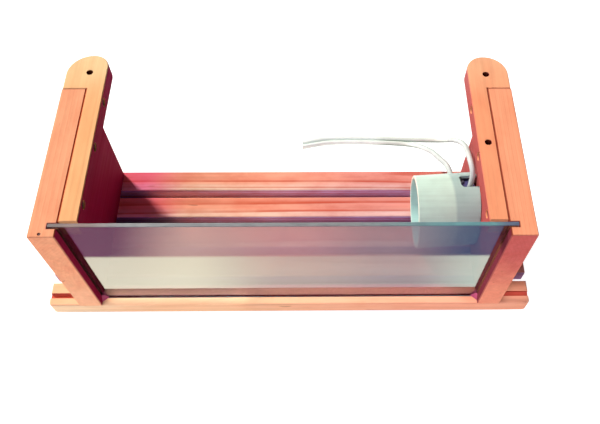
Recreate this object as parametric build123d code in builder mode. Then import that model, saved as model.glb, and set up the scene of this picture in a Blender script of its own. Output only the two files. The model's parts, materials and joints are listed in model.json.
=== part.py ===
# Small open wooden trough with a sliding glass front, two drilled bracket arms and a loose
# plastic pipe that houses a lamp holder on a twin flex. Millimetres, +Z up, +X to the right,
# +Y to the back. The origin is on the resting surface, under the middle of the end cheeks.
from build123d import *
import os
from math import cos, dist, pi, radians, sin, tan

os.makedirs("parts", exist_ok=True)

# ---- driving dimensions ----
# end cheeks: the two plain boards that stand on the floor slats
cheek_thick = 18.0
cheek_depth = 125.0
cheek_height = 114.0
inner_gap = 298.0

# floor slats
slat_length = 383.0
slat_width = 20.0
slat_thick = 13.0
slat_pitch = 26.8
slat_count = 5
slat_round = 1.6
front_corner_round = 3.5
edge_ease = 0.6

# glass pane, the saw kerf in each cheek and the groove in the front slat
glass_thick = 3.0
kerf_width = 4.5
kerf_depth = 6.5
kerf_setback = 6.3
groove_depth = 3.0
glass_end_play = 0.5
glass_play = 0.3
glass_edge = 0.3

# bracket arms, screwed to the inner faces of the cheeks
arm_thick = 13.0
arm_leg_width = 13.0
arm_nose_width = 30.6
arm_front_gap = 0.9
arm_hole_r = 2.5
right_hole_out = 0.6
left_arm_reach = 33.0
right_arm_reach = 31.4
left_nose_rounds = (18.4, 12.0)
right_nose_rounds = (17.0, 13.4)
left_hole_back = 15.8
right_hole_back = 13.6
second_hole_y = 12.8
second_hole_in = 7.2

# wood screws that hold the arms and the floor, and the panel pin in the left cheek
screw_r = 1.75
screw_head_r = 3.2
screw_head_deep = 2.0
screw_sunk = 1.2
screw_point = 5.0
screw_slot_length = 3.8
screw_slot_width = 0.8
screw_slot_deep = 0.9
screw_hole_play = 0.05
arm_screw_length = 28.0
arm_screw_drop = 5.2
left_arm_screw_y = (53.7, 12.9, -34.9)
right_arm_screw_y = (46.2, 4.4, -43.0)
floor_screw_length = 34.0
floor_screw_shift = 5.6
pin_r = 1.1
pin_length = 16.0
pin_sunk = 0.5
pin_inset = 7.8
pin_from_front = 2.4

# glue blocks in the front corners, at the foot of the glass
block_along = 5.0
block_deep = 4.2
block_high = 4.5
block_top = 1.5

# plastic pipe and the lamp holder inside it
pipe_r = 28.5
pipe_wall = 2.6
pipe_length = 48.2
pipe_edge = 0.4
pipe_yaw = 4.1
pipe_left_x = 100.6
pipe_left_y = 6.6
pipe_rest_gap = 0.3
pipe_cheek_gap = 0.3
saw_yaw = 1.0
saw_tilt = 2.0
saw_waste = 4.0
notch_reach = 13.8
notch_corner = 3.0
notch_half = 6.9
notch_back_angle = 18.0
holder_fit = 0.05
flange_from = 21.3
flange_to = 27.8
boss_r = 24.0
boss_to = 46.3
boss_edge = 0.5
barrel_from = 8.8
barrel_r = 17.5
barrel_bore_r = 14.6
barrel_floor = 2.0
shell_r = 14.55
shell_wall = 0.7
shell_set_back = 1.0
thread_count = 4
thread_first = 3.0
thread_pitch = 3.2
thread_width = 1.6
thread_depth = 0.3
contact_r = 4.0
contact_thick = 1.2
contact_round = 0.8
terminal_at = 35.9
terminal_gap = 0.2
terminal_head_r = 2.6
terminal_head_thick = 1.2
terminal_shank_r = 1.5
terminal_sunk = 7.0
terminal_slot_width = 0.7
terminal_slot_deep = 0.5
terminal_turns = (27.0, -14.0)

# twin flex: two insulated conductors, side by side where they lie on the table
wire_d = 4.3
wire_lie = wire_d / 2 + 0.1
wire_hole_play = 0.1
wire_hole_reach = 18.0
front_wire_route = [
    (141.2, 13.2, 60.0),
    (143.7, 15.4, 77.5),
    (140.4, 33.3, 82.0),
    (144.2, 60.5, 60.0),
    (145.4, 92.4, 22.0),
    (141.0, 106.1, wire_lie),
    (112.8, 106.8, wire_lie),
    (82.0, 108.3, wire_lie),
    (42.9, 109.1, wire_lie),
    (24.0, 107.5, wire_lie),
    (8.2, 103.4, wire_lie),
]
back_wire_route = [
    (132.0, 25.8, 48.0),
    (133.0, 42.5, 49.6),
    (123.9, 59.7, 42.7),
    (123.1, 78.9, 24.0),
    (113.1, 101.4, wire_lie),
    (84.0, 103.8, wire_lie),
    (42.9, 104.5, wire_lie),
    (23.3, 102.8, wire_lie),
    (8.0, 98.7, wire_lie),
]

# ---- positions that follow from the dimensions ----
inner_x = inner_gap / 2
outer_x = inner_x + cheek_thick
front_y = -cheek_depth / 2
back_y = cheek_depth / 2
top_z = slat_thick + cheek_height
kerf_y = front_y + kerf_setback + kerf_width / 2
glass_y = kerf_y + kerf_width / 2 - glass_play - glass_thick / 2
arm_front_y = kerf_y + kerf_width / 2 + arm_front_gap
arm_screw_z = top_z - arm_screw_drop
head_seat_x = inner_x - arm_leg_width + screw_sunk
slat_y = [front_y + slat_width / 2 + n * slat_pitch for n in range(slat_count)]
cheek_mid_x = inner_x + cheek_thick / 2
floor_screw_y = [slat_y[0] + floor_screw_shift] + slat_y[1:]
pipe_z = slat_thick + pipe_rest_gap + pipe_r
pipe_bore_r = pipe_r - pipe_wall
axis_dir = Vector(cos(radians(pipe_yaw)), sin(radians(pipe_yaw)), 0)


def along_pipe(distance):
    """The plane across the pipe at a distance from its open end. Its X is up, its Y is to the front."""
    origin = Vector(pipe_left_x, pipe_left_y, pipe_z) + axis_dir * distance
    return Plane(origin=origin, x_dir=(0, 0, 1), z_dir=axis_dir)


def out_of_pipe(distance, angle):
    """The plane on the pipe's axis that faces outwards, turned from straight up towards the back."""
    origin = Vector(pipe_left_x, pipe_left_y, pipe_z) + axis_dir * distance
    back = Vector(-axis_dir.Y, axis_dir.X, 0)
    outward = Vector(0, 0, 1) * cos(radians(angle)) + back * sin(radians(angle))
    return Plane(origin=origin, x_dir=axis_dir, z_dir=outward)


# ---- end cheeks ----
with BuildPart() as left_cheek:
    with BuildSketch(Plane.XY.offset(slat_thick)):
        with Locations((-cheek_mid_x, 0)):
            Rectangle(cheek_thick, cheek_depth)
    extrude(amount=cheek_height)
    chamfer(left_cheek.edges().filter_by(Axis.Z), edge_ease)
    chamfer(left_cheek.faces().sort_by(Axis.Z)[-1].edges(), edge_ease)
    with BuildSketch(Plane.XY.offset(slat_thick)):
        with Locations((-inner_x - kerf_depth / 2, kerf_y)):
            Rectangle(kerf_depth, kerf_width)
    extrude(amount=cheek_height, mode=Mode.SUBTRACT)
    for y in left_arm_screw_y:
        with BuildSketch(Plane.YZ.offset(-inner_x)):
            with Locations((y, arm_screw_z)):
                Circle(screw_r + screw_hole_play)
        extrude(amount=-(arm_screw_length - arm_leg_width + screw_sunk + 1), mode=Mode.SUBTRACT)
    for y in floor_screw_y:
        with BuildSketch(Plane.XY.offset(slat_thick)):
            with Locations((-cheek_mid_x, y)):
                Circle(screw_r + screw_hole_play)
        extrude(amount=floor_screw_length - slat_thick + 1, mode=Mode.SUBTRACT)
    with BuildSketch(Plane.XY.offset(top_z)):
        with Locations((-outer_x + pin_inset, front_y + pin_from_front)):
            Circle(pin_r + screw_hole_play)
    extrude(amount=-(pin_length + pin_sunk), mode=Mode.SUBTRACT)
left_cheek.part.label = "left_cheek"
export_step(left_cheek.part, "parts/left_cheek.step")

with BuildPart() as right_cheek:
    with BuildSketch(Plane.XY.offset(slat_thick)):
        with Locations((cheek_mid_x, 0)):
            Rectangle(cheek_thick, cheek_depth)
    extrude(amount=cheek_height)
    chamfer(right_cheek.edges().filter_by(Axis.Z), edge_ease)
    chamfer(right_cheek.faces().sort_by(Axis.Z)[-1].edges(), edge_ease)
    with BuildSketch(Plane.XY.offset(slat_thick)):
        with Locations((inner_x + kerf_depth / 2, kerf_y)):
            Rectangle(kerf_depth, kerf_width)
    extrude(amount=cheek_height, mode=Mode.SUBTRACT)
    for y in right_arm_screw_y:
        with BuildSketch(Plane.YZ.offset(inner_x)):
            with Locations((y, arm_screw_z)):
                Circle(screw_r + screw_hole_play)
        extrude(amount=arm_screw_length - arm_leg_width + screw_sunk + 1, mode=Mode.SUBTRACT)
    for y in floor_screw_y:
        with BuildSketch(Plane.XY.offset(slat_thick)):
            with Locations((cheek_mid_x, y)):
                Circle(screw_r + screw_hole_play)
        extrude(amount=floor_screw_length - slat_thick + 1, mode=Mode.SUBTRACT)
right_cheek.part.label = "right_cheek"
export_step(right_cheek.part, "parts/right_cheek.step")


# ---- bracket arms ----
def arm_outline(side, reach):
    """Draws the arm seen from above: a leg along the cheek, a shoulder behind it, and the nose."""
    inside = side * (inner_x - arm_leg_width)
    joint = side * inner_x
    outside = side * (inner_x - arm_leg_width + arm_nose_width)
    tip = back_y + reach
    Polyline((inside, arm_front_y), (joint, arm_front_y), (joint, back_y),
             (outside, back_y), (outside, tip), (inside, tip), close=True)


with BuildPart() as left_arm:
    with BuildSketch(Plane.XY.offset(top_z - arm_thick)) as left_arm_plan:
        with BuildLine():
            arm_outline(-1, left_arm_reach)
        make_face()
        fillet(left_arm_plan.vertices().group_by(Axis.Y)[-1].sort_by(Axis.X)[0], left_nose_rounds[0])
        fillet(left_arm_plan.vertices().group_by(Axis.Y)[-1].sort_by(Axis.X)[-1], left_nose_rounds[1])
        with Locations((-inner_x, back_y + left_hole_back)):
            Circle(arm_hole_r, mode=Mode.SUBTRACT)
    extrude(amount=arm_thick)
    left_arm_rim = left_arm.faces().sort_by(Axis.Z)[-1].outer_wire().edges()
    chamfer(left_arm_rim, edge_ease)
    for y in left_arm_screw_y:
        with BuildSketch(Plane.YZ.offset(-inner_x)):
            with Locations((y, arm_screw_z)):
                Circle(screw_r + screw_hole_play)
        extrude(amount=arm_leg_width, mode=Mode.SUBTRACT)
        with BuildSketch(Plane.YZ.offset(-head_seat_x - screw_head_deep)):
            with Locations((y, arm_screw_z)):
                Circle(screw_head_r + screw_hole_play)
        extrude(amount=screw_head_deep + screw_sunk, mode=Mode.SUBTRACT)
left_arm.part.label = "left_arm"
export_step(left_arm.part, "parts/left_arm.step")

with BuildPart() as right_arm:
    with BuildSketch(Plane.XY.offset(top_z - arm_thick)) as right_arm_plan:
        with BuildLine():
            arm_outline(1, right_arm_reach)
        make_face()
        fillet(right_arm_plan.vertices().group_by(Axis.Y)[-1].sort_by(Axis.X)[-1], right_nose_rounds[0])
        fillet(right_arm_plan.vertices().group_by(Axis.Y)[-1].sort_by(Axis.X)[0], right_nose_rounds[1])
        with Locations((inner_x + right_hole_out, back_y + right_hole_back)):
            Circle(arm_hole_r, mode=Mode.SUBTRACT)
        with Locations((inner_x - arm_leg_width + second_hole_in, second_hole_y)):
            Circle(arm_hole_r, mode=Mode.SUBTRACT)
    extrude(amount=arm_thick)
    right_arm_rim = right_arm.faces().sort_by(Axis.Z)[-1].outer_wire().edges()
    chamfer(right_arm_rim, edge_ease)
    for y in right_arm_screw_y:
        with BuildSketch(Plane.YZ.offset(inner_x)):
            with Locations((y, arm_screw_z)):
                Circle(screw_r + screw_hole_play)
        extrude(amount=-arm_leg_width, mode=Mode.SUBTRACT)
        with BuildSketch(Plane.YZ.offset(head_seat_x + screw_head_deep)):
            with Locations((y, arm_screw_z)):
                Circle(screw_head_r + screw_hole_play)
        extrude(amount=-(screw_head_deep + screw_sunk), mode=Mode.SUBTRACT)
right_arm.part.label = "right_arm"
export_step(right_arm.part, "parts/right_arm.step")


# ---- screws and the panel pin ----
# a wood screw along +Z, head first: flat head with a cross slot, cone, shank and point
screws = {}
for screw_length in (arm_screw_length, floor_screw_length):
    with BuildPart() as wood_screw:
        with BuildSketch():
            Circle(screw_head_r)
        extrude(amount=screw_head_deep / 2)
        with BuildSketch(Plane.XY.offset(screw_head_deep / 2)):
            Circle(screw_head_r)
        with BuildSketch(Plane.XY.offset(screw_head_deep)):
            Circle(screw_r)
        loft()
        with BuildSketch(Plane.XY.offset(screw_head_deep)):
            Circle(screw_r)
        extrude(amount=screw_length - screw_head_deep - screw_point)
        with BuildSketch(Plane.XY.offset(screw_length - screw_point)):
            Circle(screw_r)
        with BuildSketch(Plane.XY.offset(screw_length)):
            Circle(screw_r * 0.2)
        loft()
        with BuildSketch():
            Rectangle(screw_slot_length, screw_slot_width)
            Rectangle(screw_slot_width, screw_slot_length)
        extrude(amount=screw_slot_deep, mode=Mode.SUBTRACT)
    screws[screw_length] = wood_screw.part

with BuildPart() as left_arm_screws:
    for y in left_arm_screw_y:
        with Locations(Location((-head_seat_x, y, arm_screw_z), (0, -90, 0))):
            add(screws[arm_screw_length])
left_arm_screws.part.label = "left_arm_screws"
export_step(left_arm_screws.part, "parts/left_arm_screws.step")

with BuildPart() as right_arm_screws:
    for y in right_arm_screw_y:
        with Locations(Location((head_seat_x, y, arm_screw_z), (0, 90, 0))):
            add(screws[arm_screw_length])
right_arm_screws.part.label = "right_arm_screws"
export_step(right_arm_screws.part, "parts/right_arm_screws.step")

with BuildPart() as left_floor_screws:
    for y in floor_screw_y:
        with Locations((-cheek_mid_x, y, 0)):
            add(screws[floor_screw_length])
left_floor_screws.part.label = "left_floor_screws"
export_step(left_floor_screws.part, "parts/left_floor_screws.step")

with BuildPart() as right_floor_screws:
    for y in floor_screw_y:
        with Locations((cheek_mid_x, y, 0)):
            add(screws[floor_screw_length])
right_floor_screws.part.label = "right_floor_screws"
export_step(right_floor_screws.part, "parts/right_floor_screws.step")

with BuildPart() as cheek_pin:
    with BuildSketch(Plane.XY.offset(top_z - pin_sunk)):
        with Locations((-outer_x + pin_inset, front_y + pin_from_front)):
            Circle(pin_r)
    extrude(amount=-(pin_length - 1))
cheek_pin.part.label = "cheek_pin"
export_step(cheek_pin.part, "parts/cheek_pin.step")


# ---- floor slats, numbered from the back ----
for number in range(1, slat_count):
    y = slat_y[slat_count - number]
    with BuildPart() as slat:
        with BuildSketch():
            with Locations((0, y)):
                Rectangle(slat_length, slat_width)
        extrude(amount=slat_thick)
        fillet(slat.edges().filter_by(Axis.X).group_by(Axis.Z)[-1], slat_round)
        with BuildSketch():
            with Locations((-cheek_mid_x, y), (cheek_mid_x, y)):
                Circle(screw_r + screw_hole_play)
        extrude(amount=slat_thick, mode=Mode.SUBTRACT)
        with BuildSketch():
            with Locations((-cheek_mid_x, y), (cheek_mid_x, y)):
                Circle(screw_head_r + screw_hole_play)
        extrude(amount=screw_head_deep, mode=Mode.SUBTRACT)
    slat.part.label = f"slat_{number}"
    export_step(slat.part, f"parts/slat_{number}.step")

with BuildPart() as front_slat:
    with BuildSketch():
        with Locations((0, slat_y[0])):
            Rectangle(slat_length, slat_width)
    extrude(amount=slat_thick)
    fillet(front_slat.edges().filter_by(Axis.Z).group_by(Axis.Y)[0], front_corner_round)
    fillet(front_slat.faces().sort_by(Axis.Z)[-1].edges(), slat_round)
    with BuildSketch(Plane.XY.offset(slat_thick)):
        with Locations((0, kerf_y)):
            Rectangle(slat_length + 2, kerf_width)
    extrude(amount=-groove_depth, mode=Mode.SUBTRACT)
    with BuildSketch():
        with Locations((-cheek_mid_x, floor_screw_y[0]), (cheek_mid_x, floor_screw_y[0])):
            Circle(screw_r + screw_hole_play)
    extrude(amount=slat_thick, mode=Mode.SUBTRACT)
    with BuildSketch():
        with Locations((-cheek_mid_x, floor_screw_y[0]), (cheek_mid_x, floor_screw_y[0])):
            Circle(screw_head_r + screw_hole_play)
    extrude(amount=screw_head_deep, mode=Mode.SUBTRACT)
front_slat.part.label = "front_slat"
export_step(front_slat.part, "parts/front_slat.step")

# ---- glass pane ----
glass_length = inner_gap + 2 * (kerf_depth - glass_end_play)
glass_bottom = slat_thick - groove_depth + glass_play
with BuildPart() as glass_pane:
    with BuildSketch(Plane.XY.offset(glass_bottom)):
        with Locations((0, glass_y)):
            Rectangle(glass_length, glass_thick)
    extrude(amount=top_z - glass_bottom)
    chamfer(glass_pane.edges().filter_by(Axis.X).group_by(Axis.Z)[-1], glass_edge)
glass_pane.part.label = "glass_pane"
export_step(glass_pane.part, "parts/glass_pane.step")


# ---- glue blocks: wedges in the corners between cheek and front slat, in front of the glass ----
block_y = glass_y - glass_thick / 2 - glass_play
for side, name in ((-1, "left_glue_block"), (1, "right_glue_block")):
    with BuildPart() as glue_block:
        with BuildSketch(Plane.XY.offset(slat_thick)):
            with BuildLine():
                Polyline((side * inner_x, block_y), (side * (inner_x - block_along), block_y),
                         (side * inner_x, block_y - block_deep), close=True)
            make_face()
        with BuildSketch(Plane.XY.offset(slat_thick + block_high)):
            with BuildLine():
                Polyline((side * inner_x, block_y), (side * (inner_x - block_top), block_y),
                         (side * inner_x, block_y - block_top), close=True)
            make_face()
        loft()
    glue_block.part.label = name
    export_step(glue_block.part, f"parts/{name}.step")

# ---- plastic pipe, sawn off by hand at both ends: one slightly out of square, one along the cheek ----
front_wire_leg = Vector(*front_wire_route[1]) - Vector(*front_wire_route[0])
front_wire_start = Plane(origin=front_wire_route[0], z_dir=front_wire_leg)
back_wire_leg = Vector(*back_wire_route[1]) - Vector(*back_wire_route[0])
back_wire_start = Plane(origin=back_wire_route[0], z_dir=back_wire_leg)
saw_cut = Plane(origin=(pipe_left_x, pipe_left_y, pipe_z),
                z_dir=(cos(radians(saw_yaw)) * cos(radians(saw_tilt)),
                       sin(radians(saw_yaw)) * cos(radians(saw_tilt)), sin(radians(saw_tilt))))
cheek_end = Plane(origin=(inner_x - pipe_cheek_gap, 0, pipe_z), z_dir=(-1, 0, 0))

with BuildPart() as pipe_sleeve:
    with BuildSketch(along_pipe(-saw_waste)):
        Circle(pipe_r)
        Circle(pipe_bore_r, mode=Mode.SUBTRACT)
    extrude(amount=pipe_length + 2 * saw_waste)
    split(bisect_by=saw_cut, keep=Keep.TOP)
    split(bisect_by=cheek_end, keep=Keep.TOP)
    chamfer(pipe_sleeve.faces().filter_by(GeomType.PLANE).edges(), pipe_edge)
    with BuildSketch(out_of_pipe(pipe_length, notch_back_angle)):
        RectangleRounded(2 * notch_reach, 2 * notch_half, notch_corner)
    extrude(amount=pipe_r + 3, mode=Mode.SUBTRACT)
    with BuildSketch(back_wire_start):
        Circle(wire_d / 2 + wire_hole_play)
    extrude(amount=wire_hole_reach, mode=Mode.SUBTRACT)
pipe_sleeve.part.label = "pipe_sleeve"
export_step(pipe_sleeve.part, "parts/pipe_sleeve.step")

# ---- lamp holder inside the pipe ----
with BuildPart() as holder_body:
    with BuildSketch(along_pipe(flange_from)):
        Circle(pipe_bore_r - holder_fit)
    extrude(amount=flange_to - flange_from)
    with BuildSketch(along_pipe(flange_to)):
        Circle(boss_r)
    extrude(amount=boss_to - flange_to)
    chamfer(holder_body.faces().sort_by(Axis.X)[-1].edges(), boss_edge)
    with BuildSketch(along_pipe(barrel_from)):
        Circle(barrel_r)
    extrude(amount=flange_from - barrel_from)
    with BuildSketch(along_pipe(barrel_from)):
        Circle(barrel_bore_r)
    extrude(amount=flange_to - barrel_from - barrel_floor, mode=Mode.SUBTRACT)
    for turn in terminal_turns:
        with BuildSketch(out_of_pipe(terminal_at, turn)):
            Circle(terminal_shank_r + screw_hole_play)
        extrude(amount=boss_r + 1, mode=Mode.SUBTRACT)
    for start in (front_wire_start, back_wire_start):
        with BuildSketch(start):
            Circle(wire_d / 2 + wire_hole_play)
        extrude(amount=wire_hole_reach / 2, both=True, mode=Mode.SUBTRACT)
holder_body.part.label = "holder_body"
export_step(holder_body.part, "parts/holder_body.step")

with BuildPart() as socket_shell:
    with BuildSketch(along_pipe(barrel_from + shell_set_back)):
        Circle(shell_r)
        Circle(shell_r - shell_wall, mode=Mode.SUBTRACT)
    extrude(amount=flange_to - barrel_floor - barrel_from - shell_set_back)
    for groove in range(thread_count):
        with BuildSketch(along_pipe(barrel_from + thread_first + thread_pitch * groove)):
            Circle(shell_r - shell_wall + thread_depth)
            Circle(shell_r - shell_wall - 1, mode=Mode.SUBTRACT)
        extrude(amount=thread_width, mode=Mode.SUBTRACT)
socket_shell.part.label = "socket_shell"
export_step(socket_shell.part, "parts/socket_shell.step")

with BuildPart() as centre_contact:
    with BuildSketch(along_pipe(flange_to - barrel_floor)):
        Circle(contact_r)
    extrude(amount=-contact_thick)
    fillet(centre_contact.edges().filter_by(GeomType.CIRCLE).sort_by(Axis.X)[0], contact_round)
centre_contact.part.label = "centre_contact"
export_step(centre_contact.part, "parts/centre_contact.step")

with BuildPart() as terminal_screws:
    for turn in terminal_turns:
        with BuildSketch(out_of_pipe(terminal_at, turn).offset(boss_r - terminal_sunk)):
            Circle(terminal_shank_r)
        extrude(amount=terminal_sunk + terminal_gap)
        with BuildSketch(out_of_pipe(terminal_at, turn).offset(boss_r + terminal_gap)):
            Circle(terminal_head_r)
        extrude(amount=terminal_head_thick)
        with BuildSketch(out_of_pipe(terminal_at, turn).offset(
                boss_r + terminal_gap + terminal_head_thick - terminal_slot_deep)):
            Rectangle(2.4 * terminal_head_r, terminal_slot_width)
        extrude(amount=1, mode=Mode.SUBTRACT)
terminal_screws.part.label = "terminal_screws"
export_step(terminal_screws.part, "parts/terminal_screws.step")


# ---- the two conductors of the twin flex ----
def bend_radii(route):
    """The radius of each bend, from the shorter of its two runs and the angle that it turns through."""
    radii = []
    for before, here, after in zip(route, route[1:], route[2:]):
        turn = (Vector(*here) - Vector(*before)).get_angle(Vector(*after) - Vector(*here))
        radii.append(0.45 * min(dist(before, here), dist(here, after)) / tan(radians(turn) / 2))
    return radii


with BuildPart() as front_wire:
    with BuildLine() as front_wire_line:
        FilletPolyline(*front_wire_route, radius=bend_radii(front_wire_route))
    with BuildSketch(front_wire_start):
        Circle(wire_d / 2)
    sweep()
front_wire.part.label = "front_wire"
export_step(front_wire.part, "parts/front_wire.step")

with BuildPart() as back_wire:
    with BuildLine() as back_wire_line:
        FilletPolyline(*back_wire_route, radius=bend_radii(back_wire_route))
    with BuildSketch(back_wire_start):
        Circle(wire_d / 2)
    sweep()
back_wire.part.label = "back_wire"
export_step(back_wire.part, "parts/back_wire.step")

for name, line, wire, route in (("front_wire", front_wire_line, front_wire, front_wire_route),
                                ("back_wire", back_wire_line, back_wire, back_wire_route)):
    length = line.wires()[0].length
    print(name, "length", round(length, 1), "radii", [round(r, 1) for r in bend_radii(route)],
          "volume share", round(wire.part.volume / (length * pi * wire_d ** 2 / 4), 4))
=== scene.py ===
"""Looks for a small glass-fronted wooden trough with a loose pipe and lamp holder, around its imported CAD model."""
import json
from math import cos, radians, sin

import bmesh
import bpy
from mathutils import Matrix, Vector


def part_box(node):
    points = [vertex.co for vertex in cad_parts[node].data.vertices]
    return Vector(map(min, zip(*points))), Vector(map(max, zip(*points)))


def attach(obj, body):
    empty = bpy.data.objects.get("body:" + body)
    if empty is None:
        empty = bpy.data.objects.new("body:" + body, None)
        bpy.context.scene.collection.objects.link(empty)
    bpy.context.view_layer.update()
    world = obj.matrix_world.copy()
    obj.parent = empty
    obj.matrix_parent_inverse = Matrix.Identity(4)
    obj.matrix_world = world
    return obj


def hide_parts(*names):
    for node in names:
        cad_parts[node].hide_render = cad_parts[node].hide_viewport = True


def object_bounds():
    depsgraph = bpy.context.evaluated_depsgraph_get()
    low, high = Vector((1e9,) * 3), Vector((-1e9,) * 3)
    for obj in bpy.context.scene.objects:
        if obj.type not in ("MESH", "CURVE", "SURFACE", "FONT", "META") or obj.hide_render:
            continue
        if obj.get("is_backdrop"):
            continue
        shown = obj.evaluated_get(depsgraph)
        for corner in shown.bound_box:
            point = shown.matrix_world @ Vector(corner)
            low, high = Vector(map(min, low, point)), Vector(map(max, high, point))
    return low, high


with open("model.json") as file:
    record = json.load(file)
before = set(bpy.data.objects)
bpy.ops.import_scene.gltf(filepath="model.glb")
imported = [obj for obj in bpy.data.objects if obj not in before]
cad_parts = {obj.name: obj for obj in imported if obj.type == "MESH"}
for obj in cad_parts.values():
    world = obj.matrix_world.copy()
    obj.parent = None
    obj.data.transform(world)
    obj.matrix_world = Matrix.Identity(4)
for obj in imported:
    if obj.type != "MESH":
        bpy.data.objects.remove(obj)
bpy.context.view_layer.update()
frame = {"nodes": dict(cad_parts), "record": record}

nodes = frame["nodes"]


def add_to_scene(item):
    bpy.context.scene.collection.objects.link(item)


# ---- camera: looks down into the trough from in front ----
camera_place = Vector((0.02163, -0.27257, 0.51698))
camera_yaw = radians(1.6)
camera_pitch = radians(-59.65)
camera_roll = radians(1.17)

ahead = Vector((sin(camera_yaw) * cos(camera_pitch), cos(camera_yaw) * cos(camera_pitch), sin(camera_pitch)))
level = Vector((cos(camera_yaw), -sin(camera_yaw), 0))
upward = level.cross(ahead)
side_axis = level * cos(camera_roll) + upward * sin(camera_roll)
up_axis = upward * cos(camera_roll) - level * sin(camera_roll)

camera_data = bpy.data.cameras.new("camera")
camera_data.sensor_width = 36
camera_data.lens = 40.795
camera_data.shift_x = -0.04465
camera_data.shift_y = 0.00027
camera_data.clip_start = 0.01
camera = bpy.data.objects.new("camera", camera_data)
turn = Matrix((side_axis, up_axis, -ahead)).transposed()
camera.matrix_world = Matrix.Translation(camera_place) @ turn.to_4x4()
add_to_scene(camera)
bpy.context.scene.camera = camera


# ---- node helpers ----
def new_material(name):
    """A material with nothing but a Principled shader; gives the material, its tree and the shader."""
    material = bpy.data.materials.new(name)
    material.use_nodes = True
    tree = material.node_tree
    return material, tree, tree.nodes["Principled BSDF"]


def add_node(tree, kind, inputs=None, **settings):
    """A node with its settings, and inputs that are values or the outputs of other nodes."""
    node = tree.nodes.new(kind)
    for key, value in settings.items():
        setattr(node, key, value)
    for key, value in (inputs or {}).items():
        if isinstance(value, bpy.types.NodeSocket):
            tree.links.new(value, node.inputs[key])
        else:
            node.inputs[key].default_value = value
    return node


def math_node(tree, operation, a, b=0.0):
    return add_node(tree, "ShaderNodeMath", {0: a, 1: b}, operation=operation).outputs[0]


def vector_math(tree, operation, inputs):
    return add_node(tree, "ShaderNodeVectorMath", inputs, operation=operation).outputs


def object_place(tree):
    """Where a point lies in the coordinates of its own piece, which move with the piece."""
    return add_node(tree, "ShaderNodeTexCoord").outputs["Object"]


def share_between(tree, value, start, end, **settings):
    """0 at the start, 1 at the end, and no further outside them."""
    limits = {"Value": value, "From Min": start, "From Max": end}
    return add_node(tree, "ShaderNodeMapRange", limits, **settings).outputs[0]


def ramp(tree, factor, stops):
    """A colour ramp; each stop is (position, colour) and a grey may be given as one number."""
    node = add_node(tree, "ShaderNodeValToRGB", {0: factor})
    node.color_ramp.interpolation = "EASE"
    elements = node.color_ramp.elements
    while len(elements) < len(stops):
        elements.new(0.5)
    for element, (position, colour) in zip(elements, stops):
        element.position = position
        element.color = (colour,) * 3 + (1,) if isinstance(colour, float) else (*colour, 1)
    return node.outputs[0]


def mixed(tree, factor, a, b, blend_type="MIX"):
    """Two colours mixed; each is an output or a plain colour."""
    node = add_node(tree, "ShaderNodeMix", data_type="RGBA", blend_type=blend_type)
    for key, value in ((0, factor), (6, a), (7, b)):
        if isinstance(value, bpy.types.NodeSocket):
            tree.links.new(value, node.inputs[key])
        else:
            node.inputs[key].default_value = value if key == 0 else (*value, 1)
    return node.outputs[2]


def multiplied(tree, a, b):
    return mixed(tree, 1.0, a, b, "MULTIPLY")


def noise(tree, vector, scale, detail=3.0, roughness=0.55):
    return add_node(tree, "ShaderNodeTexNoise", {
        "Vector": vector, "Scale": scale, "Detail": detail, "Roughness": roughness}).outputs["Fac"]


def bumped(tree, shader, height, distance, strength=1.0):
    bump = add_node(tree, "ShaderNodeBump", {"Height": height, "Distance": distance, "Strength": strength})
    tree.links.new(bump.outputs[0], shader.inputs["Normal"])


def stretched(tree, along, squeeze, place=(0, 0, 0), turn_z=0.0):
    """Object coordinates from a place, turned about Z, with the axis called along drawn out by squeeze."""
    scale = [1.0, 1.0, 1.0]
    scale["XYZ".index(along)] = squeeze
    moved = add_node(tree, "ShaderNodeMapping", {
        "Vector": object_place(tree), "Location": [-x for x in place]}, vector_type="POINT").outputs[0]
    return add_node(tree, "ShaderNodeMapping", {
        "Vector": moved, "Rotation": (0, 0, turn_z), "Scale": scale}).outputs[0]


# ---- tints: colours that come in where their conditions hold ----
to_left, to_right = (-1, 0, 0), (1, 0, 0)
to_front, to_back = (0, -1, 0), (0, 1, 0)
to_bottom, to_top = (0, 0, -1), (0, 0, 1)
fray_share = 0.6


def lies(direction, start, end):
    """A condition on places: how far a point lies along a direction, in metres."""
    return "Object", direction, start, end


def faces(direction, start=0.5, end=0.9):
    """A condition on surfaces: how squarely one looks along a direction, at most 1."""
    return "Normal", direction, start, end


def tinted(tree, colour, tints, unevenness=None):
    """Multiplies a colour by tints, one after the other.

    Each is (tint, condition, ...). It comes in where all its conditions hold, and each of them goes from nothing at
    its start to the full tint at its end. unevenness frays the conditions on places.
    """
    for tint, *conditions in tints:
        share = None
        for source, direction, start, end in conditions:
            coordinates = add_node(tree, "ShaderNodeTexCoord").outputs[source]
            value = vector_math(tree, "DOT_PRODUCT", {0: coordinates, 1: direction})["Value"]
            if unevenness is not None and source == "Object":
                fray = math_node(tree, "MULTIPLY", unevenness, abs(end - start) * fray_share)
                value = math_node(tree, "ADD", value, fray)
            part = share_between(tree, value, start, end, interpolation_type="SMOOTHSTEP")
            share = part if share is None else math_node(tree, "MULTIPLY", share, part)
        colour = mixed(tree, share, colour, multiplied(tree, colour, tint))
    return colour


# ---- kinds of material ----
wood_roughness, wood_gloss = 0.62, 0.01
warp_scale, warp_reach = 28.0, 0.016
fibre_depth = 0.00018


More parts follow.
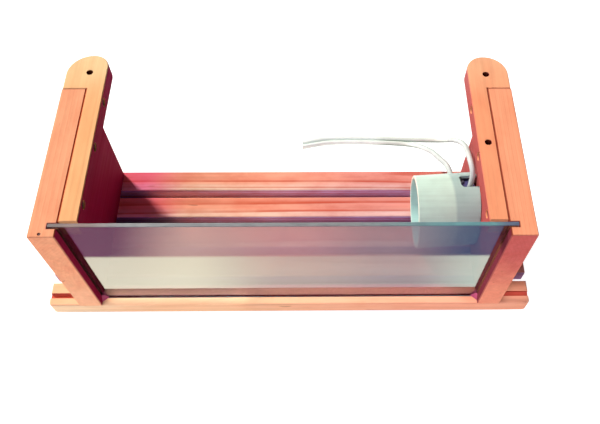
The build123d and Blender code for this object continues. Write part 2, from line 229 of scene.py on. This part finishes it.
def wood(name, early, late, along, pith, ring=0.0026, tints=(), figure=1.0, seed=0.0):
    """Sawn softwood: growth rings about a pith line, fibre streaks, mottling and small dark resin marks.

    early and late are the two tones of a ring, along is the grain's axis, pith is a point on the pith line, figure
    is how strongly the rings show and tints are as in tinted().
    """
    material, tree, shader = new_material(name)
    squeezed = stretched(tree, along, 0.05, pith)
    warp = add_node(tree, "ShaderNodeTexNoise", {
        "Vector": squeezed, "Scale": warp_scale, "Detail": 2.0, "W": seed}, noise_dimensions="4D").outputs["Color"]
    warp = vector_math(tree, "SUBTRACT", {0: warp, 1: (0.5, 0.5, 0.5)})[0]
    warp = vector_math(tree, "SCALE", {0: warp, "Scale": warp_reach})[0]
    warped = vector_math(tree, "ADD", {0: squeezed, 1: warp})[0]
    flat = [1.0, 1.0, 1.0]
    flat["XYZ".index(along)] = 0.0
    across_grain = vector_math(tree, "MULTIPLY", {0: warped, 1: flat})[0]
    radius = vector_math(tree, "LENGTH", {0: across_grain})["Value"]
    phase = math_node(tree, "FRACT", math_node(tree, "DIVIDE", radius, ring))
    rings = ramp(tree, phase, [(0.0, 0.0), (0.55, 0.18), (0.86, 1.0), (0.93, 0.85), (1.0, 0.0)])

    fibre_space = stretched(tree, along, 0.03)
    fibre = noise(tree, fibre_space, 900.0, 4.0, 0.7)
    streak = noise(tree, fibre_space, 260.0, 3.0, 0.6)
    mottle = noise(tree, stretched(tree, along, 0.35), 34.0, 3.0, 0.6)
    cloud = noise(tree, stretched(tree, along, 0.5, (0.13, 0.07, 0.21)), 75.0, 4.0, 0.6)
    marks = ramp(tree, noise(tree, stretched(tree, along, 0.16, (0.31, 0.17, 0.07)), 210.0, 1.5, 0.5),
                 [(0.0, 1.0), (0.235, 1.0), (0.275, 0.0), (1.0, 0.0)])

    ring_strength = math_node(tree, "MULTIPLY", rings, ramp(tree, mottle, [(0.3, 0.35 * figure), (0.7, figure)]))
    colour = mixed(tree, ring_strength, early, late)
    colour = mixed(tree, ramp(tree, cloud, [(0.35, 0.0), (0.75, 0.4)]), colour, late)
    colour = multiplied(tree, colour, ramp(tree, streak, [(0.3, 0.90), (0.7, 1.0)]))
    colour = multiplied(tree, colour, ramp(tree, fibre, [(0.3, 0.95), (0.65, 1.0)]))
    colour = tinted(tree, colour, tints, math_node(tree, "SUBTRACT", mottle, 0.5))
    dark_mark = tuple(c * 0.45 for c in late)
    colour = mixed(tree, math_node(tree, "MULTIPLY", marks, 0.5), colour, dark_mark)
    tree.links.new(colour, shader.inputs["Base Color"])

    dullness = ramp(tree, streak, [(0.25, wood_roughness + 0.12), (0.75, wood_roughness - 0.08)])
    tree.links.new(dullness, shader.inputs["Roughness"])
    shader.inputs["Specular IOR Level"].default_value = wood_gloss
    fibre_relief = math_node(tree, "MULTIPLY", fibre, 0.6)
    ring_relief = math_node(tree, "MULTIPLY", rings, 0.5)
    bumped(tree, shader, math_node(tree, "ADD", fibre_relief, ring_relief), fibre_depth, 0.5)
    return material


def plastic(name, colour, roughness, tints=()):
    """Moulded plastic: a very fine grain, and slight unevenness in tone and gloss; tints are as in tinted()."""
    material, tree, shader = new_material(name)
    space = stretched(tree, "X", 1.0)
    cloud = noise(tree, space, 70.0)
    tone = ramp(tree, cloud, [(0.3, tuple(c * 0.9 for c in colour)), (0.7, colour)])
    tree.links.new(tinted(tree, tone, tints), shader.inputs["Base Color"])
    dullness = ramp(tree, cloud, [(0.3, roughness + 0.08), (0.7, roughness - 0.05)])
    tree.links.new(dullness, shader.inputs["Roughness"])
    bumped(tree, shader, noise(tree, space, 900.0, 2.0), 0.00003)
    return material


def metal(name, colour, roughness, grime):
    """Worn metal: a base tone with duller patches."""
    material, tree, shader = new_material(name)
    patch = noise(tree, stretched(tree, "X", 1.0), 700.0, 4.0, 0.6)
    tree.links.new(ramp(tree, patch, [(0.35, grime), (0.6, colour)]), shader.inputs["Base Color"])
    tree.links.new(ramp(tree, patch, [(0.3, roughness + 0.25), (0.7, roughness)]), shader.inputs["Roughness"])
    shader.inputs["Metallic"].default_value = 1.0
    bumped(tree, shader, patch, 0.00004)
    return material


# ---- places on the trough, and the conditions that the tints of its boards share ----
def point_by(node, share):
    """A point given by its share of a node's box along each axis; it may lie outside the box."""
    low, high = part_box(node)
    return Vector(low[i] + (high[i] - low[i]) * share[i] for i in range(3))


cheek_low, cheek_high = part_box("left_cheek")
left_joint = cheek_high.x
right_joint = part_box("right_cheek")[0].x
arm_shoulder = cheek_high.y
top_z = cheek_high.z
slat_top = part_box("front_slat")[1].z
glass_low, glass_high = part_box("glass_pane")
holes = {mount["name"]: mount["pos_m"] for mount in frame["record"]["mounts"] if mount["kind"] == "bore"}

kerf_y = (glass_low.y + glass_high.y) / 2 - 0.00045
kerf_floor, kerf_mouth = 0.0075, 0.0060
kerf_reach, groove_reach = 0.0034, 0.0055
seam_reach, hole_reach = 0.0011, 0.0075
core_share = 0.3
edge_blur = 0.001


def near(axis, place, reach=seam_reach):
    """Two conditions that hold close to a plane across an axis."""
    direction = tuple(1.0 if letter == axis else 0.0 for letter in "XYZ")
    return (lies(direction, place - reach, place - reach * core_share),
            lies(direction, place + reach, place + reach * core_share))


def hole_wall_shade(name):
    """Painted shade on the wall of a drilled hole, below the face of the board."""
    x, y, _ = holes[name]
    return ((0.16, 0.07, 0.07), *near("X", x, hole_reach), *near("Y", y, hole_reach),
            lies(to_bottom, -top_z + 0.0003, -top_z + 0.0010))


facing_up = faces(to_top, 0.2, 0.5)
slat_front = faces(to_front, 0.6, 0.95)
behind_cheek = lies(to_front, -arm_shoulder - seam_reach, -arm_shoulder)
on_nose = lies(to_back, arm_shoulder - 0.02, arm_shoulder + 0.03)
right_of_cheek_side = lies(to_right, cheek_low.x - edge_blur, cheek_low.x + edge_blur)
between_cheeks = (lies(to_right, left_joint - edge_blur, left_joint + edge_blur),
                  lies(to_left, -right_joint - edge_blur, -right_joint + edge_blur))
in_left_kerf = (lies(to_right, left_joint - kerf_floor, left_joint - kerf_mouth), *near("Y", kerf_y, kerf_reach))
in_right_kerf = (lies(to_left, -right_joint - kerf_floor, -right_joint - kerf_mouth), *near("Y", kerf_y, kerf_reach))
in_groove = (*near("Y", kerf_y, groove_reach), lies(to_bottom, -slat_top + 0.0002, -slat_top + 0.0008))
behind_glass = lies(to_back, kerf_y + 0.0010, kerf_y + 0.0022)

# ---- cheeks and arms ----
salmon, salmon_late = (0.90, 0.37, 0.20), (0.78, 0.24, 0.12)
peach, peach_late = (0.92, 0.49, 0.22), (0.84, 0.37, 0.15)
red_seam, dark_seam = (0.62, 0.26, 0.22), (0.40, 0.22, 0.20)
# painted shade for the inner faces of cheeks and arms: deep on the left ones, which face away from the key, lighter
# on the right ones
left_inner_painted_shade, right_inner_painted_shade = (0.31, 0.018, 0.20), (0.46, 0.25, 0.44)
calm_figure = 0.3

left_cheek_tints = [
    (left_inner_painted_shade, faces(to_right)),
    # painted light: the lower front face is paler, as if lit by the bright table in front
    ((1.04, 1.22, 1.30), faces(to_front), lies(to_bottom, -0.085, -0.025)),
    # painted shade inside the kerf that holds the glass
    ((0.30, 0.10, 0.50), *in_left_kerf),
    (red_seam, *near("X", left_joint), facing_up),
    (dark_seam, *near("Y", arm_shoulder), facing_up)]
right_cheek_tints = [
    (right_inner_painted_shade, faces(to_left)),
    # painted shade inside the kerf that holds the glass
    ((0.22, 0.10, 0.16), *in_right_kerf),
    # painted shade on the inner face in front of the glass
    ((0.35, 0.25, 0.40), faces(to_left), lies(to_front, 0.0550, 0.0565)),
    # painted shade on the front face, deeper higher up
    ((0.95, 0.80, 0.90), faces(to_front)),
    ((0.70, 0.42, 0.60), faces(to_front), lies(to_top, 0.02, 0.11)),
    (dark_seam, *near("X", right_joint), facing_up),
    (dark_seam, *near("Y", arm_shoulder), facing_up)]
left_arm_tints = [
    (left_inner_painted_shade, faces(to_right)),
    # painted light: paler towards the nose, as a glow of light
    ((1.0, 1.35, 1.55), on_nose),
    (red_seam, *near("X", left_joint), behind_cheek),
    hole_wall_shade("left_nose_hole")]
right_arm_tints = [
    (right_inner_painted_shade, faces(to_left)),
    # painted light: paler towards the nose, as a glow of light
    ((1.0, 1.30, 1.40), on_nose),
    (dark_seam, *near("X", right_joint), behind_cheek),
    hole_wall_shade("right_nose_hole"),
    hole_wall_shade("right_leg_hole")]

for board, early, late, pith_share, tints, seed in (
        ("left_cheek", (0.90, 0.41, 0.22), salmon_late, (4.0, 0.5, 0.4), left_cheek_tints, 0.0),
        ("right_cheek", salmon, salmon_late, (-3.0, 0.5, 0.7), right_cheek_tints, 3.0),
        ("left_arm", peach, peach_late, (0.4, 0.5, -2.0), left_arm_tints, 5.0),
        ("right_arm", (0.90, 0.36, 0.18), salmon_late, (0.7, 0.5, -3.0), right_arm_tints, 7.0)):
    nodes[board].data.materials[0] = wood(
        f"{board}_wood", early, late, "Y", point_by(board, pith_share), tints=tints, figure=calm_figure, seed=seed)

# painted shade: the glue blocks, which stand in shade, get a dark shaded copy of the wood
glue_painted_shade_wood = wood(
    "glue_block_wood", (0.50, 0.095, 0.19), (0.36, 0.05, 0.12), "Z", (0.0, 0.0, 0.0), figure=calm_figure)
for block in ("left_glue_block", "right_glue_block"):
    nodes[block].data.materials[0] = glue_painted_shade_wood

# ---- slats: their front faces carry painted shade, lighter on the rearmost one, whose front edge catches more light ----
floor_slats = [f"slat_{number}" for number in range(1, 5)]
rear_edge = max(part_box(slat)[1].y for slat in floor_slats)
for number, slat in enumerate(floor_slats, start=1):
    low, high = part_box(slat)
    depth = high.y - low.y
    # painted shade on the slats' front faces, lighter on the rearmost one
    front_face_shade = (0.86, 0.94, 1.75) if high.y > rear_edge - edge_blur else (0.54, 0.60, 1.25)
    slat_tints = [
        # redder towards the rear, as the grain is; the paler front half is a painted highlight where the front edge
        # catches the light
        ((1.0, 0.62, 0.54), lies(to_back, low.y + 0.15 * depth, low.y + 0.5 * depth)),
        # painted shade towards the right end, near the pipe and the right cheek
        ((0.78, 0.72, 0.90), lies(to_right, -0.05, 0.09)),
        # painted shadow of the left cheek on the tops at the left end
        ((0.92, 0.40, 0.90), lies(to_left, 0.085, 0.130), right_of_cheek_side, facing_up),
        (front_face_shade, slat_front),
        # painted shadow of the left cheek on the front faces at the left end
        ((0.55, 0.35, 0.70), slat_front, lies(to_left, 0.10, 0.14), right_of_cheek_side)]
    nodes[slat].data.materials[0] = wood(
        f"{slat}_wood", (0.95, 0.66, 0.49), (0.68, 0.19, 0.11), "X", point_by(slat, (0.5, 0.9, -1.0)), ring=0.0031,
        tints=slat_tints, seed=10.0 + number)

front_slat_tints = [
    ((0.98, 0.72, 0.78), lies(to_right, -0.10, 0.14)),
    # painted light on the front face at the left end, as if lit by the bright table in front
    ((1.04, 1.25, 1.35), lies(to_left, 0.09, 0.18), faces(to_front)),
    # painted shade on the ledge behind the glass, between the cheeks
    ((1.08, 0.64, 1.35), behind_glass, *between_cheeks),
    # painted shade in the groove that holds the glass, deepest between the cheeks
    ((0.64, 0.22, 0.24), *in_groove),
    ((0.30, 0.12, 0.16), *in_groove, *between_cheeks)]
nodes["front_slat"].data.materials[0] = wood(
    "front_slat_wood", (0.92, 0.56, 0.33), (0.86, 0.42, 0.22), "X", point_by("front_slat", (0.5, 0.3, -2.0)),
    tints=front_slat_tints, figure=0.35, seed=20.0)

# ---- screws and lamp holder ----
steel = metal("screw_steel", (0.10, 0.06, 0.06), 0.5, (0.04, 0.02, 0.02))
for name in ("left_arm_screws", "right_arm_screws", "left_floor_screws", "right_floor_screws", "cheek_pin"):
    nodes[name].data.materials[0] = steel
nodes["terminal_screws"].data.materials[0] = metal("terminal_steel", (0.30, 0.29, 0.36), 0.35, (0.16, 0.15, 0.20))
brass = metal("contact_brass", (0.72, 0.50, 0.20), 0.3, (0.40, 0.25, 0.10))
nodes["centre_contact"].data.materials[0] = brass
nodes["socket_shell"].data.materials[0] = brass
nodes["holder_body"].data.materials[0] = plastic("holder_plastic", (0.06, 0.06, 0.17), 0.4)

# ---- pipe: thin extruded plastic, with painted shade where the dark lamp holder stands behind it and towards the bottom, and a painted highlight on its left end ----
pipe_yaw = radians(4.1)
pipe_axis = (cos(pipe_yaw), sin(pipe_yaw), 0)
pipe_low, pipe_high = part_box("pipe_sleeve")
pipe_end = pipe_high.x
grey_from, grey_full = 0.0215, 0.0185
pipe_material, pipe_tree, pipe_shader = new_material("pipe_plastic")
lines = noise(pipe_tree, stretched(pipe_tree, "X", 0.03, pipe_low, -pipe_yaw), 420.0, 3.0, 0.6)
pipe_cloud = noise(pipe_tree, stretched(pipe_tree, "X", 1.0), 60.0)
pipe_tone = ramp(pipe_tree, pipe_cloud, [(0.3, (0.49, 0.66, 0.56)), (0.7, (0.53, 0.72, 0.61))])
pipe_tone = multiplied(pipe_tree, pipe_tone, ramp(pipe_tree, lines, [(0.3, 0.93), (0.7, 1.0)]))
pipe_tone = tinted(pipe_tree, pipe_tone, [
    # painted shade where the dark lamp holder stands behind the plastic
    ((0.64, 0.68, 0.74), lies(pipe_axis, pipe_end - grey_from, pipe_end - grey_full)),
    # painted shade towards the bottom
    ((0.84, 1.00, 1.06), lies(to_bottom, -0.058, -0.030)),
    # painted highlight on the left end, which faces the key
    ((1.75, 1.15, 1.10), faces(to_left, 0.6, 0.9))])
pipe_tree.links.new(pipe_tone, pipe_shader.inputs["Base Color"])
pipe_tree.links.new(ramp(pipe_tree, lines, [(0.3, 0.42), (0.7, 0.30)]), pipe_shader.inputs["Roughness"])
bumped(pipe_tree, pipe_shader, lines, 0.00005)
nodes["pipe_sleeve"].data.materials[0] = pipe_material

# ---- glass sheet: polished faces, and ground edges with a narrow bevel ----
pane_material, _, pane_shader = new_material("pane_glass")
pane_shader.inputs["Base Color"].default_value = (0.20, 0.22, 0.23, 1)
pane_shader.inputs["Transmission Weight"].default_value = 1.0
pane_shader.inputs["Roughness"].default_value = 0.03
pane_shader.inputs["IOR"].default_value = 2.2

edge_material, edge_tree, edge_shader = new_material("ground_edge")
edge_grain = noise(edge_tree, stretched(edge_tree, "X", 0.3), 500.0, 3.0, 0.6)
edge_tone = ramp(edge_tree, edge_grain, [(0.3, (0.18, 0.195, 0.20)), (0.7, (0.235, 0.25, 0.25))])
edge_tone = tinted(edge_tree, edge_tone, [
    ((0.56, 1.22, 1.26), lies(to_right, 0.04, 0.12)),
    # painted shade towards the left end, deepest where the ends sit in the kerfs
    ((0.72, 0.38, 0.33), lies(to_left, 0.105, 0.135)),
    ((0.35, 0.22, 0.30), lies(to_left, 0.140, 0.150)),
    ((0.90, 0.50, 0.70), lies(to_right, 0.136, 0.150))])
edge_tree.links.new(edge_tone, edge_shader.inputs["Base Color"])
edge_shader.inputs["Roughness"].default_value = 0.45
bumped(edge_tree, edge_shader, edge_grain, 0.00005)

bevel = 0.0003
edge_slot = 1
outline = [(glass_low.x, glass_low.z), (glass_high.x, glass_low.z),
           (glass_high.x, glass_high.z), (glass_low.x, glass_high.z)]
sections = [(glass_low.y, bevel), (glass_low.y + bevel, 0.0), (glass_high.y - bevel, 0.0), (glass_high.y, bevel)]
sheet = bmesh.new()
loops = []
for y, inset in sections:
    loops.append([sheet.verts.new((x + (inset if x < 0 else -inset), y, z + (inset if z == glass_low.z else -inset)))
                  for x, z in outline])
sheet.faces.new(loops[0])
sheet.faces.new(reversed(loops[-1]))
for near_loop, far_loop in zip(loops, loops[1:]):
    for i in range(len(outline)):
        face = sheet.faces.new((near_loop[i - 1], far_loop[i - 1], far_loop[i], near_loop[i]))
        face.material_index = edge_slot
bmesh.ops.recalc_face_normals(sheet, faces=sheet.faces)
sheet_mesh = bpy.data.meshes.new("glass_sheet")
sheet.to_mesh(sheet_mesh)
sheet.free()
sheet_mesh.materials.append(pane_material)
sheet_mesh.materials.append(edge_material)
glass_sheet = bpy.data.objects.new("glass_sheet", sheet_mesh)
add_to_scene(glass_sheet)
glass_sheet.visible_shadow = False
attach(glass_sheet, "pane")
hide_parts("glass_pane")

# ---- twin flex: two conductors, side by side where they lie on the floor ----
wire_d = 0.0043
wire_lie = wire_d / 2 + 0.0001
front_wire_route = [
    (0.1412, 0.0132, 0.0600),
    (0.1437, 0.0154, 0.0775),
    (0.1404, 0.0333, 0.0820),
    (0.1442, 0.0605, 0.0600),
    (0.1454, 0.0924, 0.0220),
    (0.1410, 0.1061, wire_lie),
    (0.1128, 0.1068, wire_lie),
    (0.0820, 0.1083, wire_lie),
    (0.0429, 0.1091, wire_lie),
    (0.0240, 0.1075, wire_lie),
    (0.0082, 0.1034, wire_lie),
]
back_wire_route = [
    (0.1320, 0.0258, 0.0480),
    (0.1330, 0.0425, 0.0496),
    (0.1239, 0.0597, 0.0427),
    (0.1231, 0.0789, 0.0240),
    (0.1131, 0.1014, wire_lie),
    (0.0840, 0.1038, wire_lie),
    (0.0429, 0.1045, wire_lie),
    (0.0233, 0.1028, wire_lie),
    (0.0080, 0.0987, wire_lie),
]
# painted shade: darker towards the holder, where it is raised, on its right side where raised, along its underside
# and on its faces up and back
by_holder = lies(to_right, 0.070, 0.090)
raised = lies(to_top, 0.004, 0.020)
down_and_forward, up_and_back = (0, -0.86, -0.51), (0, 0.86, 0.51)
flex_plastic = plastic("flex_plastic", (0.88, 0.96, 0.90), 0.5, tints=[
    ((0.82, 0.82, 0.79), by_holder),
    ((0.70, 0.70, 0.74), raised),
    ((0.60, 0.66, 0.64), faces(to_right, 0.5, 0.95), raised),
    ((0.74, 0.80, 0.76), faces(down_and_forward, 0.5, 0.95)),
    ((0.38, 0.44, 0.40), faces(down_and_forward, 0.25, 0.85), by_holder),
    ((0.70, 0.78, 0.74), faces(up_and_back, 0.75, 0.98))])


def lay_wire(name, route, node):
    """One insulated conductor: a smooth curve of its real length, on the points of its route."""
    curve = bpy.data.curves.new(name, "CURVE")
    curve.dimensions = "3D"
    spline = curve.splines.new("NURBS")
    spline.points.add(len(route) - 1)
    for point, place in zip(spline.points, route):
        point.co = (*place, 1)
    spline.order_u = 3
    spline.use_endpoint_u = True
    curve.resolution_u = 16
    curve.bevel_depth = wire_d / 2
    curve.bevel_resolution = 6
    curve.use_fill_caps = True
    curve.materials.append(flex_plastic)
    wire = bpy.data.objects.new(name, curve)
    add_to_scene(wire)
    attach(wire, "lamp_unit")
    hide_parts(node)


lay_wire("front_conductor", front_wire_route, "front_wire")
lay_wire("back_conductor", back_wire_route, "back_wire")

# ---- stage: a floor that glows around the trough, and has painted shade beneath it, where it does not glow ----
bpy.context.scene.view_settings.view_transform = "Standard"


def level_sheet(name, half_width, y_from, y_to, z):
    """A rectangle that lies flat, as wide to the left as to the right."""
    mesh = bpy.data.meshes.new(name)
    corners = [(-half_width, y_from, 0), (half_width, y_from, 0), (half_width, y_to, 0), (-half_width, y_to, 0)]
    mesh.from_pydata(corners, [], [(0, 1, 2, 3)])
    item = bpy.data.objects.new(name, mesh)
    item.location.z = z
    add_to_scene(item)
    return item


floor_reach, floor_z = 3.0, -0.0003
floor_glow, glow_blur = 0.95, 0.012
glow_from = (("X", 0.178), ("Y", 0.058))
floor = level_sheet("floor", floor_reach, -floor_reach, floor_reach, floor_z)
floor_material, floor_tree, floor_shader = new_material("floor_paper")
floor_shader.inputs["Base Color"].default_value = (0.5, 0.5, 0.5, 1)
floor_shader.inputs["Roughness"].default_value = 0.9
floor_space = add_node(floor_tree, "ShaderNodeSeparateXYZ", {0: object_place(floor_tree)})
# painted shade: the floor does not glow beneath the trough
beneath = None
for axis, limit in glow_from:
    offset = math_node(floor_tree, "ABSOLUTE", floor_space.outputs["XYZ".index(axis)])
    share = share_between(
        floor_tree, offset, limit + glow_blur, limit - glow_blur, interpolation_type="SMOOTHSTEP")
    beneath = share if beneath is None else math_node(floor_tree, "MULTIPLY", beneath, share)
around = math_node(floor_tree, "SUBTRACT", 1.0, beneath)
floor_shader.inputs["Emission Color"].default_value = (1, 1, 1, 1)
floor_tree.links.new(math_node(floor_tree, "MULTIPLY", around, floor_glow), floor_shader.inputs["Emission Strength"])
floor.data.materials.append(floor_material)
floor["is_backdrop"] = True

# ---- light: a dim world, two soft suns and two strips ----
world = bpy.data.worlds.new("studio")
bpy.context.scene.world = world
world.use_nodes = True
world.node_tree.nodes["Background"].inputs["Color"].default_value = (0.85, 0.80, 1.0, 1)
world.node_tree.nodes["Background"].inputs["Strength"].default_value = 0.10


def add_lamp(name, light, away, place=(0, 0, 0)):
    """A lamp at a place; away is the direction from what it lights back to it."""
    lamp = bpy.data.objects.new(name, light)
    lamp.location = place
    lamp.rotation_mode = "QUATERNION"
    lamp.rotation_quaternion = away.to_track_quat("Z", "Y")
    add_to_scene(lamp)


def sun(name, energy, spread, colour, bearing, rise):
    """A soft distant lamp; bearing is where it stands, in degrees from the back towards the left."""
    light = bpy.data.lights.new(name, "SUN")
    light.energy = energy
    light.angle = radians(spread)
    light.color = colour
    bearing, rise = radians(bearing), radians(rise)
    add_lamp(name, light, Vector((-sin(bearing) * cos(rise), cos(bearing) * cos(rise), sin(rise))))


sun("key", 4.5, 9, (1.0, 0.95, 0.88), 45, 38)
sun("fill", 1.6, 35, (0.92, 0.86, 1.0), 130, 38)

# the strips stand above the front slat, for the ledge in the shade of each cheek
ledge_y, ledge_z = -0.0540, 0.0130
strip_offset = Vector((0, -0.070, 0.300))
strip_width, strip_spread = 0.012, radians(4)
for end, middle, length, energy in (("left", -0.0900, 0.112, 0.0066), ("right", 0.1820, 0.026, 0.0008)):
    strip = bpy.data.lights.new(f"{end}_strip", "AREA")
    strip.shape = "RECTANGLE"
    strip.size, strip.size_y = length, strip_width
    strip.spread = strip_spread
    strip.energy = energy
    strip.color = (0.95, 0.95, 0.93)
    ledge = Vector((middle, ledge_y, ledge_z))
    place = ledge + strip_offset
    add_lamp(f"{end}_strip", strip, place - ledge, place)

# ---- painted reflection: a glowing card seen only in reflections, a bright strip of table in front of the trough, with painted shadow to the right, and a darker room beyond ----
card_near, card_far, card_side, card_z = -0.064, -1.2, 1.5, 0.0005
table_end, table_blur = -0.0965, 0.001
tone_side = 0.16
card = level_sheet("mirrored_table", card_side, card_far, card_near, card_z)
card_material, card_tree, card_shader = new_material("mirrored_table")
card_shader.inputs["Base Color"].default_value = (0, 0, 0, 1)
card_shader.inputs["Specular IOR Level"].default_value = 0
card_space = add_node(card_tree, "ShaderNodeSeparateXYZ", {0: object_place(card_tree)})
on_table = share_between(card_tree, card_space.outputs["Y"], table_end - table_blur, table_end + table_blur)
across = share_between(card_tree, card_space.outputs["X"], -tone_side, tone_side)
table_tone = ramp(card_tree, across, [
    (0.0, (1.03, 0.95, 0.74)), (0.22, (1.13, 1.05, 0.80)), (0.5, (0.65, 0.53, 0.46)), (0.8, (0.46, 0.39, 0.39)),
    (1.0, (0.69, 0.80, 0.69))])
room_tone = ramp(card_tree, across, [
    (0.0, (0.20, 0.045, 0.125)), (0.22, (0.79, 0.47, 0.43)), (0.5, (0.64, 0.29, 0.32)), (0.75, (0.36, 0.225, 0.275)),
    (1.0, (0.02, 0.05, 0.165))])
card_tree.links.new(mixed(card_tree, on_table, room_tone, table_tone), card_shader.inputs["Emission Color"])
card_shader.inputs["Emission Strength"].default_value = 2.9
card.data.materials.append(card_material)
for kind in ("camera", "diffuse", "transmission", "volume_scatter", "shadow"):
    setattr(card, f"visible_{kind}", False)
card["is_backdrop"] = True

low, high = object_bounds()
